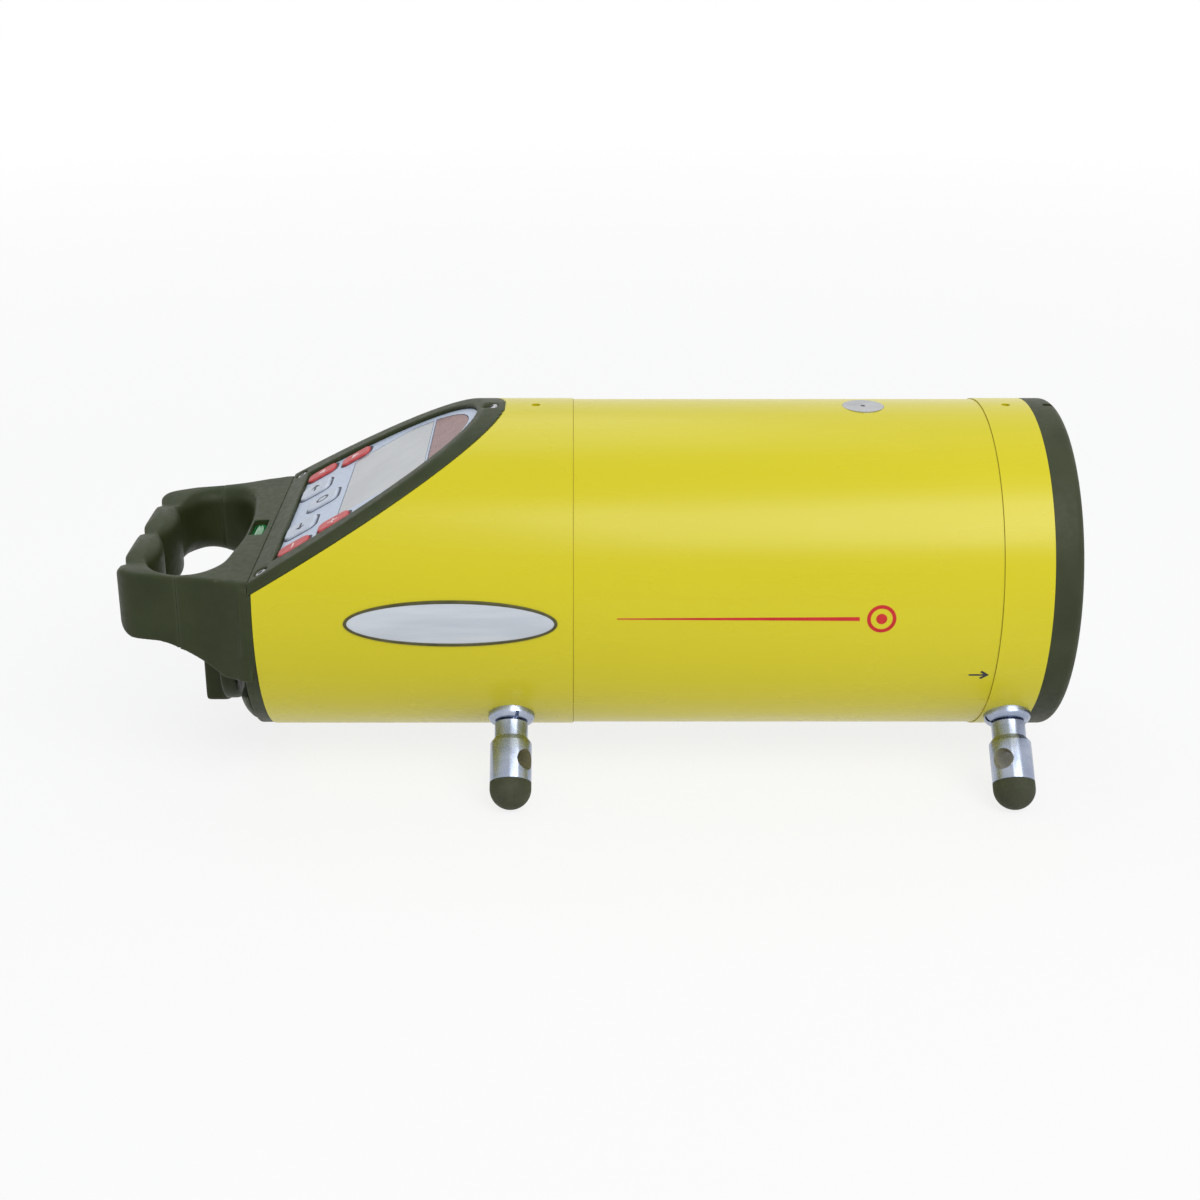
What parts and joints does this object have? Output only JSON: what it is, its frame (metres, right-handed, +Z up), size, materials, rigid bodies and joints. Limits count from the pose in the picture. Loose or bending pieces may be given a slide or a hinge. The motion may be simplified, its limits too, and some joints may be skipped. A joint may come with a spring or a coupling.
{
  "type": "pipe laser",
  "caption": "Battery pipe-laying laser: a sealed round body with a window at one end, a slanted control panel, a carrying handle and short screw-in legs for standing in a pipe.",
  "frame": {"origin": "under the middle of the object, on the plane the four feet stand on", "axes": "+X along the body towards the beam window, +Y to the left of someone looking along +X, +Z up"},
  "size_m": [0.2672, 0.111, 0.1038],
  "materials": {
    "yellow_paint": "gloss",
    "black_plastic": "satin",
    "dark_plastic": "matte",
    "chrome": "polished",
    "steel": "satin",
    "alloy": "satin",
    "rubber": "matte",
    "window_glass": "clear",
    "keypad": "satin",
    "white_key": "satin",
    "red_key": "satin",
    "display": "gloss",
    "receiver": "gloss",
    "lamp": "gloss",
    "board": "satin",
    "brass": "polished"
  },
  "bodies": {
    "case": {"rear_housing": "yellow_paint", "main_tube": "yellow_paint", "front_ring": "yellow_paint", "front_rim": "black_plastic", "front_window": "window_glass", "window_retainer": "dark_plastic", "window_gasket": "rubber", "rear_seal": "rubber", "front_seal": "rubber", "pivot_mark": "alloy", "rear_joint_screws": "steel", "front_joint_screws": "steel", "rear_cover": "black_plastic", "grip": "black_plastic", "grip_pins": "steel", "cover_screws": "steel", "status_lamp": "lamp", "panel_bezel": "black_plastic", "bezel_screws": "steel", "keypad_plate": "keypad", "display_window": "display", "display_module": "dark_plastic", "receiver_window": "receiver", "display_board": "board", "leg_sockets": "chrome", "battery_bay": "dark_plastic", "battery_contacts": "brass", "main_board": "board", "chassis": "alloy", "line_pin": "steel", "line_actuator": "dark_plastic"},
    "yoke": {"line_yoke": "alloy", "grade_actuator": "dark_plastic"},
    "barrel": {"laser_barrel": "alloy", "tilt_pins": "steel", "collimator_lens": "window_glass", "laser_diode": "brass", "level_sensor": "dark_plastic"},
    "grade_rod": {"grade_rod": "steel"},
    "line_rod": {"line_rod": "steel"},
    "battery": {"battery_pack": "dark_plastic", "battery_end_plate": "black_plastic"},
    "knob": {"battery_knob": "black_plastic", "knob_clip": "steel"},
    "key_left_low": {"key_left_low": "red_key"},
    "key_left_high": {"key_left_high": "red_key"},
    "key_left": {"key_left": "white_key"},
    "key_centre": {"key_centre": "white_key"},
    "key_right": {"key_right": "white_key"},
    "key_right_high": {"key_right_high": "red_key"},
    "key_right_low": {"key_right_low": "red_key"},
    "leg_rear_right": {"leg_rear_right": "chrome", "foot_rear_right": "rubber"},
    "leg_rear_left": {"leg_rear_left": "chrome", "foot_rear_left": "rubber"},
    "leg_front_right": {"leg_front_right": "chrome", "foot_front_right": "rubber"},
    "leg_front_left": {"leg_front_left": "chrome", "foot_front_left": "rubber"}
  },
  "joints": [
    {"name": "line_swing", "type": "hinge", "parent": "case", "child": "yoke", "pos_m": [0.07795, 0, 0.0555], "axis": [0, 0, 1], "range_deg": [-3, 3]},
    {"name": "grade_tilt", "type": "hinge", "parent": "yoke", "child": "barrel", "pos_m": [0.07795, 0, 0.0555], "axis": [0, -1, 0], "range_deg": [-5.71, 14.04]},
    {"name": "grade_rod_slide", "type": "slide", "parent": "yoke", "child": "grade_rod", "axis": [0, 0, 1], "range_m": [-0.0107, 0.0044]},
    {"name": "line_rod_slide", "type": "slide", "parent": "case", "child": "line_rod", "axis": [0, 1, 0], "range_m": [-0.0018, 0.0018]},
    {"name": "key_left_low_press", "type": "slide", "parent": "case", "child": "key_left_low", "axis": [0.5, 0, -0.866], "range_m": [0, 0.0006], "stiffness_N_per_m": 2000},
    {"name": "key_left_high_press", "type": "slide", "parent": "case", "child": "key_left_high", "axis": [0.5, 0, -0.866], "range_m": [0, 0.0006], "stiffness_N_per_m": 2000},
    {"name": "key_left_press", "type": "slide", "parent": "case", "child": "key_left", "axis": [0.5, 0, -0.866], "range_m": [0, 0.0006], "stiffness_N_per_m": 2000},
    {"name": "key_centre_press", "type": "slide", "parent": "case", "child": "key_centre", "axis": [0.5, 0, -0.866], "range_m": [0, 0.0006], "stiffness_N_per_m": 2000},
    {"name": "key_right_press", "type": "slide", "parent": "case", "child": "key_right", "axis": [0.5, 0, -0.866], "range_m": [0, 0.0006], "stiffness_N_per_m": 2000},
    {"name": "key_right_high_press", "type": "slide", "parent": "case", "child": "key_right_high", "axis": [0.5, 0, -0.866], "range_m": [0, 0.0006], "stiffness_N_per_m": 2000},
    {"name": "key_right_low_press", "type": "slide", "parent": "case", "child": "key_right_low", "axis": [0.5, 0, -0.866], "range_m": [0, 0.0006], "stiffness_N_per_m": 2000},
    {"name": "battery_pull", "type": "slide", "parent": "case", "child": "battery", "axis": [-1, 0, 0], "range_m": [0, 0.06]},
    {"name": "knob_turn", "type": "hinge", "parent": "battery", "child": "knob", "pos_m": [-0.10035, 0, 0.024], "axis": [-1, 0, 0], "range_deg": [0, 90]},
    {"name": "leg_rear_right_turn", "type": "hinge", "parent": "case", "child": "leg_rear_right", "pos_m": [-0.02295, -0.03889, 0.01661], "axis": [0, -0.7071, -0.7071], "continuous": true},
    {"name": "leg_rear_left_turn", "type": "hinge", "parent": "case", "child": "leg_rear_left", "pos_m": [-0.02295, 0.03889, 0.01661], "axis": [0, 0.7071, -0.7071], "continuous": true},
    {"name": "leg_front_right_turn", "type": "hinge", "parent": "case", "child": "leg_front_right", "pos_m": [0.11885, -0.03889, 0.01661], "axis": [0, -0.7071, -0.7071], "continuous": true},
    {"name": "leg_front_left_turn", "type": "hinge", "parent": "case", "child": "leg_front_left", "pos_m": [0.11885, 0.03889, 0.01661], "axis": [0, 0.7071, -0.7071], "continuous": true}
  ],
  "couplings": [
    {"joint": "grade_rod_slide", "follows": "grade_tilt", "m_per_rad": -0.0433},
    {"joint": "line_rod_slide", "follows": "line_swing", "m_per_rad": -0.0333}
  ]
}
